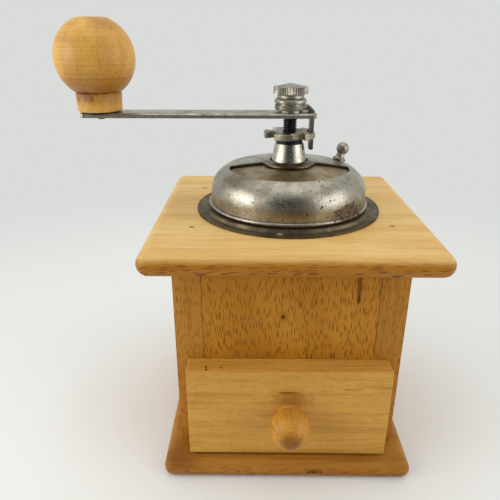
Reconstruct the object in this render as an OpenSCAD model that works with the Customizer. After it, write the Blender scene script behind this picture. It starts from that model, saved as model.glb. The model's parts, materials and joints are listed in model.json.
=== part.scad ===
// Hand crank coffee grinder: a wooden box with a drawer, a domed steel hopper and a crank
// Origin: the middle of the base's underside, below the spindle. +Z is up, the drawer faces -Y.

/* [Wooden box] */
// Side of the square top board
top_w = 150; // [140:1:200]
// Thickness of the top board
top_t = 12; // [10:0.5:18]
// Side of the square base board
base_w = 140; // [136:1:190]
// Thickness of the base board
base_t = 10; // [8:0.5:16]
// Width of the box between the outer faces of its side boards
body_w = 124; // [118:1:134]
// Height of the box between the base and the top board
body_h = 118; // [110:1:160]
// Distance from the spindle to the front face of the box
body_front = 50; // [46:1:54]
// Distance from the spindle to the back face of the box
body_back = 62; // [54:1:66]
// Thickness of the side boards
side_t = 15; // [10:0.5:19]
// Thickness of the front panel and the back board
panel_t = 12; // [8:0.5:13]

/* [Drawer] */
// Width of the drawer's front board
front_w = 111; // [104:1:118]
// Height of the drawer's front board
front_h = 56; // [48:1:64]
// Thickness of the drawer's front board
front_t = 12.5; // [9:0.5:16]
// Gap between the drawer's front board and the base
front_lift = 2; // [1:0.5:4]
// How far the front board rises past the drawer's opening
front_lap = 4; // [2:0.5:10]
// Thickness of the drawer's sides and back
drawer_wall = 8; // [5:0.5:12]
// Height of the drawer's sides
drawer_side_h = 46; // [30:1:48]
// Thickness of the drawer's bottom
drawer_floor = 3; // [2:0.5:5]
// Diameter of the drawer's knob
drawer_knob_d = 21.5; // [16:0.5:28]

/* [Hopper and dome] */
// Outer diameter of the dome's straight side
dome_d = 88.4; // [84:0.2:106.4]
// Height of the dome's crown above the top board
dome_h = 27.6; // [25:0.1:34]
// Radius of the dome's shoulder
shoulder_r = 14.5; // [11:0.5:17]
// Radius of the dome's shallow crown
crown_r = 190; // [150:5:300]
// Thickness of the dome's sheet
dome_sheet = 0.9; // [0.6:0.1:1.2]
// Thickness of the fixed half cover inside the dome
cover_sheet = 0.8; // [0.5:0.1:1.2]
// Width of the flat flange outside the dome
flange_rim = 8.3; // [6:0.1:14]
// Thickness of the bowl's sheet
bowl_sheet = 1.2; // [0.8:0.1:1.6]
// Inner diameter of the bowl
bowl_d = 62; // [60:0.5:64]
// Depth of the bowl below the top board's upper face
bowl_depth = 26; // [22:0.5:32]
// Diameter of the ball of the dome's knob
dome_knob_d = 7.3; // [5:0.1:9]

/* [Burrs and spindle] */
// Diameter of the spindle
spindle_d = 7.8; // [6:0.1:9.4]
// Height of the outer burr
burr_h = 25.8; // [20:0.2:32]
// Radius of the outer burr's bore at its bottom
burr_bore_r = 16.4; // [15.5:0.1:17]
// Radius of the outer burr's mouth at its top
burr_mouth_r = 14.2; // [13:0.1:15.5]
// Grinding gap between the two burrs at the setting shown
grind_gap = 0.4; // [0.3:0.1:1]
// Number of grooves around each burr
burr_grooves = 14; // [8:1:18]

/* [Crank] */
// Distance from the spindle to the axis of the crank's knob
crank_r = 104; // [80:1:140]
// Width of the crank's arm
arm_w = 17; // [13:0.5:22]
// Thickness of the crank's arm
arm_t = 2.5; // [2:0.1:4]
// Height of the arm above the adjusting nut
arm_rise = 7.7; // [5:0.1:11]
// Diameter of the crank's knob
knob_d = 42; // [36:0.1:54]
// Flat on the knob's crown
knob_flat = 15; // [11:0.5:20]
// Height of the knob's collar
collar_h = 10; // [5:0.2:14]
// Diameter of the knob's collar at its top
collar_d = 24.7; // [18:0.1:30]
// Diameter of the pin that the knob turns on
pin_d = 6; // [4:0.1:8]
// Outer diameter of the adjusting nut
nut_d = 28.7; // [26:0.1:36]
// Thickness of the adjusting nut's notched plate
nut_t = 3.4; // [2.5:0.1:5]
// Number of notches around the adjusting nut
nut_notches = 5; // [4:1:6]
// Width of each notch
notch_w = 6.9; // [5.5:0.1:8]

/* [Fits] */
// Radial clearance of a shaft that turns in a bore
run_gap = 0.05; // [0.02:0.01:0.1]
// Clearance between sheet covers that turn past each other
cover_gap = 0.5; // [0.3:0.1:0.8]
// Gap for braze between the bowl's floor and wall
floor_gap = 0.05; // [0.02:0.01:0.1]
// Clearance around the drawer
drawer_gap = 0.8; // [0.4:0.1:1.5]
// Clearance under a piece that slides or turns on a flat face
face_gap = 0.2; // [0.1:0.05:0.4]

/* [Hidden] */
$fn = 96;

// Colours
beech = "burlywood";
steel = "silver";
dark_steel = "dimgray";
cast_iron = "slategray";
nickel = "gainsboro";

// Levels of the box
body_z = base_t;
deck = base_t + body_h + top_t;

// Drawer
cavity_w = body_w - 2 * side_t;
drawer_w = cavity_w - 2 * drawer_gap;
drawer_z = base_t + face_gap;
front_z = base_t + front_lift;
opening_z = front_z + front_h - front_lap;
front_y = -body_front - front_t - face_gap;
drawer_end = body_back - panel_t - 4;
drawer_groove = 2.5;
floor_z = drawer_z + 3;
drawer_knob_z = front_z + front_h / 2;
drawer_knob_neck_r = 6;
drawer_knob_y = front_y - drawer_knob_d / 2 - 0.5;

// Dome, worked out above the deck
dome_r = dome_d / 2;
shoulder_x = dome_r - shoulder_r;
crown_z = dome_h - crown_r;
shoulder_z = crown_z + sqrt(pow(crown_r - shoulder_r, 2) - pow(shoulder_x, 2));
cover_inset = dome_sheet + cover_gap;
bridge_inset = cover_inset + cover_sheet + 0.1;
bridge_t = 1.6;
bridge_w = 13;
bowl_r = bowl_d / 2;
flange_r = dome_r + flange_rim;
ring_r = dome_r + 3.4;
ring_in = dome_r - cover_inset + 0.2;
ring_h = 2.8;
dome_foot = ring_h + face_gap;
bead_r = 1.1;
bead_z = dome_foot + bead_r + 0.1;
bead_out = 0.3;
bowl_screw_r = dome_r - bridge_inset - bridge_t - 2.7;
bowl_hole_r = bowl_r + bowl_sheet + 0.3;

// Opening of the dome, on the side away from the knob
opening_in = 15;
opening_out = dome_r - 9.7;
opening_edge = 3;
opening_tip = 1.2;

// Dome knob, on the shoulder a little behind the right side
dome_knob_r = shoulder_x + 4.8;
dome_knob_azimuth = 26.5;
dome_knob_tilt = asin((dome_knob_r - shoulder_x) / shoulder_r);
dome_knob_z = shoulder_z + shoulder_r * cos(dome_knob_tilt);

// Stack on the spindle, worked out above the deck
spindle_r = spindle_d / 2;
bore_r = spindle_r + run_gap;
cone_seat = dome_h - bridge_inset - 0.4;
cone_top = dome_h + 9.9;
cone_top_r = 7.95;
cone_slope = 0.2;
cone_seat_r = cone_top_r + cone_slope * (cone_top - cone_seat);
hub_r = cone_top_r + cone_slope * (cone_top - dome_h) + 0.8;
spigot_r = spindle_r + 2.4;
thrust_t = 1.7;
boss_h = 1.2;
nut_z = cone_top + thrust_t + face_gap;
nut_top = nut_z + boss_h + nut_t;
arm_z = nut_top + arm_rise;
arm_top = arm_z + arm_t;
lock_washer_t = 1.4;
pawl_z = arm_top + lock_washer_t;
pawl_t = 2.6;
spring_washer_t = 0.7;
cap_z = pawl_z + pawl_t + spring_washer_t;
cap_flange_h = 2.4;
cap_neck_h = 2.6;
cap_head_h = 3.6;
cap_cone_h = 1.7;
cap_head_r = 9.35;
spindle_top = cap_z + cap_flange_h + cap_neck_h + 2.2;
flat_w = spindle_d - 1.6;
leg_in = nut_d / 2 - 3.7;
leg_t = 2.5;
leg_w = notch_w - 0.9;
leg_foot = cone_top - 3.5;
arm_end = leg_in + leg_t + 0.7;
arm_tail = crank_r + 9.5;

// Burrs, below the deck
seat_z = -bowl_depth;
burr_z = seat_z - bowl_sheet;
burr_flange_t = 4;
burr_flange_r = 28.5;
burr_body_r = burr_bore_r + 2.8;
bolt_r = burr_body_r + 5.4;
bolt_d = 3.6;
inner_top = burr_z - 2.8;
inner_bottom = burr_z - burr_h + 0.4;
inner_top_r = spindle_r + 2.9;
inner_bottom_r = burr_bore_r - grind_gap;
burr_nut_h = 5;
strap_t = 1.5;
strap_w = 10;
strap_in = burr_body_r + 0.2;
strap_z = burr_z - burr_h - 13;
bush_r = spindle_r + 3.1;
bush_h = 8;
spindle_foot = strap_z - 2.5;

// Spring
spring_wire = 1.2;
spring_turns = 6;
spring_steps = 14;
spring_sides = 8;
spring_r = spindle_r + 1.5;
collar_top = 9;
spring_top = cone_seat - 3.2;

// Knob of the crank
knob_r = knob_d / 2;
knob_washer_t = 0.5;
knob_z = arm_top + knob_washer_t + face_gap / 2;
knob_ball_z = knob_z + collar_h + sqrt(pow(knob_r, 2) - pow(collar_d / 2, 2));
knob_top = knob_ball_z + sqrt(pow(knob_r, 2) - pow(knob_flat / 2, 2));
knob_recess_z = knob_top - 1.8;

// --- Shared shapes ---

// A square board whose edges and corners are fully rounded
module bullnose_board(w, t) {
    r = t / 2;
    s = w / 2 - r;
    translate([-s, -s, 0]) cube([2 * s, 2 * s, t]);
    for (a = [0:90:270]) rotate(a) {
        translate([s, s, r]) rotate([90, 0, 0]) cylinder(r = r, h = 2 * s);
        translate([s, s, r]) sphere(r);
    }
}

// A rectangle centred on the origin with round corners
module rounded_rect(l, w, r) {
    square([l - 2 * r, w], center = true);
    square([l, w - 2 * r], center = true);
    for (x = [-1, 1], y = [-1, 1]) translate([x * (l / 2 - r), y * (w / 2 - r)]) circle(r);
}

// A flat ring from z = 0 up
module washer(r_out, r_in, h) {
    rotate_extrude() translate([r_in, 0]) square([r_out - r_in, h]);
}

// A screw that points down, with the underside of its pan head at z = 0
module pan_screw(length, d, head_d, head_h) {
    cylinder(d = head_d, h = head_h * 0.6);
    translate([0, 0, head_h * 0.6]) cylinder(d1 = head_d, d2 = head_d * 0.6, h = head_h * 0.4);
    translate([0, 0, d - length]) cylinder(d = d, h = length - d);
    translate([0, 0, -length]) cylinder(d1 = 0.4, d2 = d, h = d);
}

// The cross-section that a flatted spindle end and its keyed holes share
module double_flat() {
    intersection() {
        circle(spindle_r);
        square([spindle_d, flat_w], center = true);
    }
}

// Half of the dome's section, moved in by a sheet's thickness
module dome_section(inset) {
    reach = crown_r + 5;
    tip = reach / (crown_r - shoulder_r);
    intersection() {
        union() {
            translate([shoulder_x, shoulder_z]) circle(shoulder_r - inset);
            square([dome_r - inset, shoulder_z]);
            square([shoulder_x, shoulder_z + 2]);
            intersection() {
                translate([0, crown_z]) circle(crown_r - inset, $fn = 720);
                polygon([[0, crown_z], [shoulder_x * tip, crown_z + (shoulder_z - crown_z) * tip],
                    [0, crown_z + reach]]);
            }
        }
        square([dome_r + 1, dome_h + 1]);
    }
}

// A shell between two insets of the dome, from a level up
module dome_shell(outer_inset, inner_inset, from) {
    rotate_extrude() difference() {
        dome_section(outer_inset);
        dome_section(inner_inset);
        square([dome_r + 1, from]);
    }
}

// --- Wooden box ---

module base_plate() {
    color(beech) difference() {
        bullnose_board(base_w, base_t);
        base_screw_set();
    }
}

// Countersunk screws from below, two into each side board
module base_screw_set() {
    for (x = [-1, 1], y = [-1, 1])
        translate([x * (body_w - side_t) / 2, (body_back - body_front) / 2 + y * 38, 0]) {
            translate([0, 0, 0.4]) cylinder(d1 = 7.6, d2 = 3.8, h = 3);
            translate([0, 0, 3.4]) cylinder(d = 3.8, h = base_t + 12);
            translate([0, 0, base_t + 15.4]) cylinder(d1 = 3.8, d2 = 0.4, h = 4);
        }
}

module base_screws() {
    color(steel) base_screw_set();
}

module top_plate() {
    color(beech) difference() {
        translate([0, 0, deck - top_t]) bullnose_board(top_w, top_t);
        translate([0, 0, deck - top_t - 1]) cylinder(r = bowl_hole_r, h = top_t + 2);
        top_nail_set();
        hopper_screw_set();
    }
}

// Round nails with small sunk heads, two into each side board
module top_nail_set() {
    for (x = [-1, 1], y = [-1, 1])
        translate([x * (body_w - side_t - 2.5) / 2, y * 36, deck - 0.4]) {
            translate([0, 0, -1.4]) cylinder(d = 3, h = 1.4);
            translate([0, 0, -top_t - 18]) cylinder(d = 1.8, h = top_t + 16.6);
        }
}

module top_plate_nails() {
    color(dark_steel) top_nail_set();
}

module side_board(side) {
    x = side > 0 ? body_w / 2 - side_t : -body_w / 2;
    color(beech) difference() {
        translate([x, -body_front, body_z]) cube([side_t, body_front + body_back, body_h]);
        base_screw_set();
        top_nail_set();
    }
}

module side_board_left() {
    side_board(-1);
}

module side_board_right() {
    side_board(1);
}

module front_panel() {
    color(beech) translate([-cavity_w / 2, -body_front, opening_z])
        cube([cavity_w, panel_t, body_z + body_h - opening_z]);
}

module back_board() {
    color(beech) translate([-cavity_w / 2, body_back - panel_t, body_z])
        cube([cavity_w, panel_t, body_h]);
}

// --- Drawer ---

module drawer_front() {
    color(beech) difference() {
        translate([0, front_y + front_t, front_z + front_h / 2]) rotate([90, 0, 0])
            linear_extrude(front_t) rounded_rect(front_w, front_h, 0.8);
        drawer_floor_board();
        drawer_screw_shape();
    }
}

// The bottom board
module drawer_floor_board() {
    w = drawer_w - 2 * (drawer_wall - drawer_groove);
    y0 = front_y + front_t - drawer_groove;
    translate([-w / 2, y0, floor_z]) cube([w, drawer_end - drawer_wall + drawer_groove - y0, drawer_floor]);
}

module drawer_side(side) {
    x = side > 0 ? drawer_w / 2 - drawer_wall : -drawer_w / 2;
    y0 = front_y + front_t;
    color(beech) difference() {
        translate([x, y0, drawer_z]) cube([drawer_wall, drawer_end - y0, drawer_side_h]);
        drawer_floor_board();
    }
}

module drawer_side_left() {
    drawer_side(-1);
}

module drawer_side_right() {
    drawer_side(1);
}

module drawer_back() {
    w = drawer_w - 2 * drawer_wall;
    color(beech) difference() {
        translate([-w / 2, drawer_end - drawer_wall, drawer_z]) cube([w, drawer_wall, drawer_side_h]);
        drawer_floor_board();
    }
}

module drawer_bottom() {
    color("tan") drawer_floor_board();
}

module drawer_knob() {
    color(beech) difference() {
        union() {
            translate([0, drawer_knob_y, drawer_knob_z]) sphere(d = drawer_knob_d);
            translate([0, front_y, drawer_knob_z]) rotate([90, 0, 0])
                cylinder(r = drawer_knob_neck_r, h = 4);
        }
        drawer_screw_shape();
    }
}

// A screw through the front board into the knob, with its head sunk in the board's back
module drawer_screw_shape() {
    translate([0, front_y + front_t - 2.4, drawer_knob_z]) rotate([-90, 0, 0])
        pan_screw(front_t + 9, 3.6, 7, 2.4);
}

module drawer_knob_screw() {
    color(steel) drawer_screw_shape();
}

// --- Hopper ---

// Pressed ring on the top plate: flange, raised ring for the dome and the shelf for the screws
module hopper_flange() {
    color(dark_steel) translate([0, 0, deck]) difference() {
        rotate_extrude() polygon([
            [flange_r, 0], [flange_r, bowl_sheet], [ring_r + 0.8, bowl_sheet], [ring_r, ring_h],
            [ring_in, ring_h], [ring_in, bowl_sheet], [bowl_r, bowl_sheet], [bowl_r, 0],
            [ring_in + 0.9, 0], [ring_in + 0.9, ring_h - bowl_sheet],
            [ring_r - 1, ring_h - bowl_sheet], [ring_r - 0.4, 0]]);
        translate([0, 0, -deck]) hopper_screw_set();
    }
}

// The bowl's wall, brazed under the flange, in the hole of the top plate
module hopper_bowl() {
    color(dark_steel) translate([0, 0, deck]) rotate_extrude()
        translate([bowl_r, burr_z]) square([bowl_sheet, -burr_z]);
}

// The bowl's floor, brazed into the wall, with the mouth over the burrs
module bowl_floor() {
    color(dark_steel) translate([0, 0, deck]) difference() {
        rotate_extrude() translate([burr_mouth_r + 0.3, burr_z])
            square([bowl_r - floor_gap - burr_mouth_r - 0.3, seat_z - burr_z]);
        burr_bolt_set();
    }
}

// Four wood screws on the shelf inside the dome; two of them also hold the bridge's feet
module hopper_screw_set() {
    for (a = [0:90:270])
        rotate(a) translate([bowl_screw_r, 0, deck + bowl_sheet + (a % 180 == 0 ? bridge_t : 0)])
            pan_screw(11, 2.8, 5, 2);
}

module hopper_screws() {
    color(steel) hopper_screw_set();
}

// The fixed half dome under the turning one
module inner_cover() {
    color(steel) translate([0, 0, deck]) difference() {
        dome_shell(cover_inset, cover_inset + cover_sheet, bowl_sheet);
        translate([0, dome_r, 0]) cube([4 * dome_r, 2 * dome_r, 4 * dome_h], center = true);
        cylinder(r = hub_r + 1.6, h = dome_h + 2);
    }
}

// Plan of the dome's half-moon opening, with its tips blunted
module opening_plan() {
    difference() {
        intersection() {
            circle(opening_out);
            translate([opening_tip - opening_out, -dome_r - opening_edge])
                square([2 * (opening_out - opening_tip), dome_r]);
        }
        circle(opening_in);
    }
}

module dome_cover() {
    color(steel) translate([0, 0, deck]) difference() {
        rotate_extrude() difference() {
            union() {
                dome_section(0);
                translate([dome_r + bead_out, bead_z]) circle(bead_r);
                polygon([[hub_r, dome_h - 1.2], [hub_r + 3.6, dome_h - 1.2],
                    [hub_r + 3.6, dome_h - 0.6], [hub_r + 1, dome_h + 0.5], [hub_r, dome_h + 0.5]]);
            }
            dome_section(dome_sheet);
            square([dome_r + 2, dome_foot]);
            square([hub_r, dome_h + 2]);
        }
        linear_extrude(dome_h + 2) opening_plan();
        dome_knob_place() cylinder(d = 2.4, h = 4, center = true);
    }
}

// Moves a shape onto the dome's shoulder, along its normal
module dome_knob_place() {
    rotate(dome_knob_azimuth) translate([dome_knob_r, 0, dome_knob_z])
        rotate([0, dome_knob_tilt, 0]) children();
}

// A ball on a flared foot, riveted through the dome
module dome_knob() {
    r = dome_knob_d / 2;
    color(nickel) translate([0, 0, deck]) dome_knob_place() rotate_extrude() {
        intersection() {
            translate([0, r + 3.4]) circle(r);
            square([r, 2 * r + 4]);
        }
        polygon([[0, -dome_sheet - 0.3], [1.2, -dome_sheet - 0.3], [1.2, 0.1], [3.7, 0.1], [4, 0.9],
            [2.6, 2.1], [2.1, 4.6], [0, 4.6]]);
    }
}

// --- Bearings ---

// A strap that follows the dome from one side of the shelf to the other
module bearing_bridge() {
    color(dark_steel) translate([0, 0, deck]) difference() {
        union() {
            intersection() {
                dome_shell(bridge_inset, bridge_inset + bridge_t, bowl_sheet);
                translate([0, 0, dome_h / 2]) cube([4 * dome_r, bridge_w, 2 * dome_h], center = true);
            }
            for (side = [-1, 1])
                translate([side * (dome_r - bridge_inset - bridge_t - 2.4) - 3, -bridge_w / 2, bowl_sheet])
                    cube([6, bridge_w, bridge_t]);
        }
        translate([0, 0, cone_seat]) cylinder(r = cone_seat_r + 0.2, h = 5);
        cylinder(r = spigot_r, h = dome_h);
        translate([0, 0, -deck]) hopper_screw_set();
    }
}

// The turned cone that the spindle runs in, riveted through the bridge
module bearing_cone() {
    under = dome_h - bridge_inset - bridge_t - 0.1;
    color(nickel) translate([0, 0, deck]) rotate_extrude() polygon([
        [bore_r, under - 1.2], [spigot_r + 1.2, under - 1.2], [spigot_r + 1.2, under - 0.1],
        [spigot_r, under - 0.1], [spigot_r, cone_seat], [cone_seat_r, cone_seat],
        [cone_top_r, cone_top], [bore_r, cone_top]]);
}

module thrust_washer() {
    color(dark_steel) translate([0, 0, deck + cone_top]) washer(cone_top_r - 0.6, bore_r, thrust_t);
}

// U-shaped strap under the outer burr with the bush for the spindle's foot
module lower_bearing() {
    foot_z = burr_z - burr_flange_t - strap_t;
    color(dark_steel) translate([0, 0, deck]) difference() {
        union() {
            translate([-strap_in - strap_t, -strap_w / 2, strap_z])
                cube([2 * (strap_in + strap_t), strap_w, strap_t]);
            for (side = [0, 180]) rotate(side) {
                translate([strap_in, -strap_w / 2, strap_z])
                    cube([strap_t, strap_w, foot_z + strap_t - strap_z]);
                translate([strap_in, -strap_w / 2, foot_z])
                    cube([bolt_r + 3.5 - strap_in, strap_w, strap_t]);
            }
            translate([0, 0, strap_z - 2]) cylinder(r = bush_r, h = bush_h);
        }
        translate([0, 0, strap_z - 3]) cylinder(r = bore_r, h = bush_h + 2);
        burr_bolt_set();
    }
}

// --- Burrs ---

module outer_burr() {
    color(cast_iron) translate([0, 0, deck]) difference() {
        rotate_extrude() polygon([
            [burr_mouth_r, burr_z], [burr_flange_r, burr_z], [burr_flange_r, burr_z - burr_flange_t],
            [burr_body_r, burr_z - burr_flange_t], [burr_body_r, burr_z - burr_h],
            [burr_bore_r, burr_z - burr_h]]);
        for (i = [0:burr_grooves - 1]) rotate(i * 360 / burr_grooves)
            translate([burr_mouth_r, 0, burr_z + 1]) rotate([0, -12, 0])
                rotate([0, 0, 45]) translate([-0.9, -0.9, -16]) cube([1.8, 1.8, 18]);
        burr_bolt_set();
    }
}

module inner_burr() {
    flute_tilt = atan((inner_bottom_r - inner_top_r) / (inner_top - inner_bottom));
    color(cast_iron) translate([0, 0, deck]) difference() {
        translate([0, 0, inner_bottom])
            cylinder(r1 = inner_bottom_r, r2 = inner_top_r, h = inner_top - inner_bottom);
        for (i = [0:burr_grooves - 1]) rotate(i * 360 / burr_grooves)
            translate([inner_top_r, 0, inner_top + 1]) rotate([0, -flute_tilt, 0])
                rotate([0, 0, 45]) translate([-0.8, -0.8, -21]) cube([1.6, 1.6, 23]);
        translate([0, 0, inner_bottom - 1]) cylinder(r = spindle_r, h = inner_top - inner_bottom + 2);
    }
}

module burr_nut() {
    color(steel) translate([0, 0, deck + inner_bottom - burr_nut_h]) difference() {
        cylinder(d = spindle_d * 1.85, h = burr_nut_h, $fn = 6);
        translate([0, 0, -1]) cylinder(r = spindle_r, h = burr_nut_h + 2);
    }
}

// Two bolts that hang the outer burr and the lower bearing from the bowl's floor
module burr_bolt_set() {
    length = bowl_sheet + burr_flange_t + strap_t + 3.6;
    for (side = [-1, 1]) translate([side * bolt_r, 0, seat_z]) {
        cylinder(r = 2.8, h = 2);
        translate([0, 0, -length]) cylinder(d = bolt_d, h = length);
    }
}

module burr_bolts() {
    color(steel) translate([0, 0, deck]) burr_bolt_set();
}

module burr_bolt_nuts() {
    z = burr_z - burr_flange_t - strap_t - 2.8;
    color(steel) translate([0, 0, deck]) difference() {
        for (side = [-1, 1]) translate([side * bolt_r, 0, z]) cylinder(r = 3.3, h = 2.8, $fn = 6);
        burr_bolt_set();
    }
}

// --- Spindle ---

module spindle() {
    color(dark_steel) translate([0, 0, deck]) {
        translate([0, 0, spindle_foot]) cylinder(r = spindle_r, h = arm_z - spindle_foot);
        translate([0, 0, collar_top - 2]) cylinder(r = spring_r + spring_wire / 2 + 0.3, h = 2);
        translate([0, 0, arm_z]) linear_extrude(spindle_top - arm_z) double_flat();
    }
}

// One ring of the spring's wire, at a fraction of its length
function spring_ring(t, z0, rise) = [for (k = [0:spring_sides - 1])
    let (a = t * 360 * spring_turns, b = k * 360 / spring_sides, w = spring_wire / 2)
    [(spring_r + w * cos(b)) * cos(a), (spring_r + w * cos(b)) * sin(a), z0 + t * rise + w * sin(b)]];

module spindle_spring() {
    rings = spring_turns * spring_steps;
    z0 = collar_top + spring_wire / 2;
    rise = spring_top - spring_wire / 2 - z0;
    points = [for (i = [0:rings]) each spring_ring(i / rings, z0, rise)];
    sides = [for (i = [0:rings - 1], k = [0:spring_sides - 1])
        let (n = (k + 1) % spring_sides, p = i * spring_sides)
        [p + k, p + k + spring_sides, p + n + spring_sides, p + n]];
    start = [for (k = [0:spring_sides - 1]) k];
    end = [for (k = [spring_sides - 1:-1:0]) rings * spring_sides + k];
    color(steel) translate([0, 0, deck]) polyhedron(points, concat(sides, [start, end]));
}

// --- Adjusting nut and crank ---

module adjusting_nut() {
    color(nickel) translate([0, 0, deck + nut_z]) difference() {
        union() {
            cylinder(r = cone_top_r - 0.9, h = boss_h);
            translate([0, 0, boss_h]) cylinder(d = nut_d, h = nut_t);
        }
        for (i = [0:nut_notches - 1]) rotate(i * 360 / nut_notches)
            translate([leg_in - 0.95, -notch_w / 2, -1]) cube([nut_d, notch_w, nut_t + boss_h + 2]);
        translate([0, 0, -1]) cylinder(r = bore_r, h = nut_t + boss_h + 2);
    }
}

// A flat bar with bevelled upper edges, a keyed hole, a pin hole and an end notch for the pawl
module crank_arm() {
    bevel = 0.8;
    color(nickel) translate([0, 0, deck + arm_z]) difference() {
        intersection() {
            translate([-arm_tail, 0, 0]) rotate([90, 0, 90]) linear_extrude(arm_tail + arm_end)
                polygon([[-arm_w / 2, 0], [arm_w / 2, 0], [arm_w / 2, arm_t - bevel],
                    [arm_w / 2 - bevel, arm_t], [bevel - arm_w / 2, arm_t], [-arm_w / 2, arm_t - bevel]]);
            translate([(arm_end - arm_tail) / 2, 0, -1]) linear_extrude(arm_t + 2)
                rounded_rect(arm_tail + arm_end, arm_w, 2);
        }
        translate([0, 0, -1]) linear_extrude(arm_t + 2) double_flat();
        translate([leg_in - 0.4, -leg_w / 2 - 0.25, -1]) cube([arm_w, leg_w + 0.5, arm_t + 2]);
        translate([-crank_r, 0, -1]) cylinder(d = pin_d, h = arm_t + 2);
    }
}

module lock_washer() {
    color(dark_steel) translate([0, 0, deck + arm_top]) washer(6.3, spindle_r, lock_washer_t);
}

// A ring on the spindle with a tail that bends down through the arm into a notch of the nut
module locking_pawl() {
    eye_r = 8.5;
    drop = pawl_z - arm_top;
    color(nickel) translate([0, 0, deck]) difference() {
        union() {
            translate([0, 0, pawl_z]) cylinder(r = eye_r, h = pawl_t);
            translate([0, leg_w / 2, 0]) rotate([90, 0, 0]) linear_extrude(leg_w)
                polygon([[5, pawl_z], [leg_in - 1.6, pawl_z], [leg_in, pawl_z - drop + 0.3],
                    [leg_in, leg_foot + 0.5], [leg_in + 0.5, leg_foot], [leg_in + leg_t - 0.5, leg_foot],
                    [leg_in + leg_t, leg_foot + 0.5], [leg_in + leg_t, pawl_z - 0.4],
                    [leg_in - 0.6, pawl_z + pawl_t], [5, pawl_z + pawl_t]]);
        }
        translate([0, 0, pawl_z - 1]) linear_extrude(pawl_t + 2) double_flat();
    }
}

module spring_washer() {
    color(dark_steel) translate([0, 0, deck + pawl_z + pawl_t]) washer(7.4, spindle_r, spring_washer_t);
}

// A closed nut with a waist and a knurled head
module cap_nut() {
    teeth = 44;
    head_z = cap_flange_h + cap_neck_h;
    color(nickel) translate([0, 0, deck + cap_z]) difference() {
        union() {
            rotate_extrude() polygon([[0, 0], [8.3, 0], [8.75, 0.6], [8.75, cap_flange_h - 0.6],
                [8.2, cap_flange_h], [7.3, cap_flange_h + 0.5], [7.3, head_z - 0.6],
                [cap_head_r - 0.6, head_z], [0, head_z]]);
            translate([0, 0, head_z]) linear_extrude(cap_head_h)
                polygon([for (i = [0:2 * teeth - 1])
                    let (a = i * 180 / teeth, r = cap_head_r - (i % 2) * 0.35) [r * cos(a), r * sin(a)]]);
            translate([0, 0, head_z + cap_head_h])
                cylinder(r1 = cap_head_r - 0.6, r2 = 0.8, h = cap_cone_h);
        }
        translate([0, 0, -1]) cylinder(r = spindle_r, h = spindle_top - cap_z + 1.2);
    }
}

// --- Knob of the crank ---

// A pin with a head sunk in the knob's crown and a riveted end under the arm
module knob_pin() {
    color(dark_steel) translate([-crank_r, 0, deck]) {
        translate([0, 0, arm_z]) cylinder(d = pin_d, h = knob_recess_z + face_gap - arm_z);
        translate([0, 0, knob_recess_z + face_gap]) cylinder(d1 = pin_d + 3, d2 = pin_d, h = 1.4);
        translate([0, 0, arm_z - 1.5]) cylinder(d1 = pin_d - 2.5, d2 = pin_d + 2.6, h = 1.5);
    }
}

module knob_washer() {
    color(dark_steel) translate([-crank_r, 0, deck + arm_top]) washer(9, pin_d / 2, knob_washer_t);
}

module crank_knob() {
    neck_r = collar_d / 2;
    color(beech) translate([-crank_r, 0, deck]) difference() {
        union() {
            intersection() {
                translate([0, 0, knob_ball_z]) sphere(knob_r);
                translate([0, 0, knob_z + collar_h])
                    cylinder(r = knob_r + 1, h = knob_top - knob_z - collar_h);
            }
            translate([0, 0, knob_z]) cylinder(r1 = neck_r - 0.6, r2 = neck_r, h = collar_h);
        }
        translate([0, 0, knob_z - 1]) cylinder(r = pin_d / 2 + run_gap, h = knob_top - knob_z + 2);
        translate([0, 0, knob_recess_z]) cylinder(d = pin_d + 4.4, h = 3);
    }
}

base_plate();
top_plate();
side_board_left();
side_board_right();
front_panel();
back_board();
base_screws();
top_plate_nails();
drawer_front();
drawer_side_left();
drawer_side_right();
drawer_back();
drawer_bottom();
drawer_knob();
drawer_knob_screw();
hopper_flange();
hopper_bowl();
bowl_floor();
hopper_screws();
inner_cover();
dome_cover();
dome_knob();
bearing_bridge();
bearing_cone();
thrust_washer();
outer_burr();
lower_bearing();
burr_bolts();
burr_bolt_nuts();
inner_burr();
burr_nut();
spindle();
spindle_spring();
adjusting_nut();
crank_arm();
lock_washer();
locking_pawl();
spring_washer();
cap_nut();
knob_pin();
knob_washer();
crank_knob();
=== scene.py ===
"""Looks of a hand crank coffee grinder: turned beech, worn nickel plate and blackened steel."""

import json
import logging
import math
from collections.abc import Callable, Iterable
from dataclasses import dataclass, field
from enum import Enum

import bmesh
import bpy
from mathutils import Matrix, Vector

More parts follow.
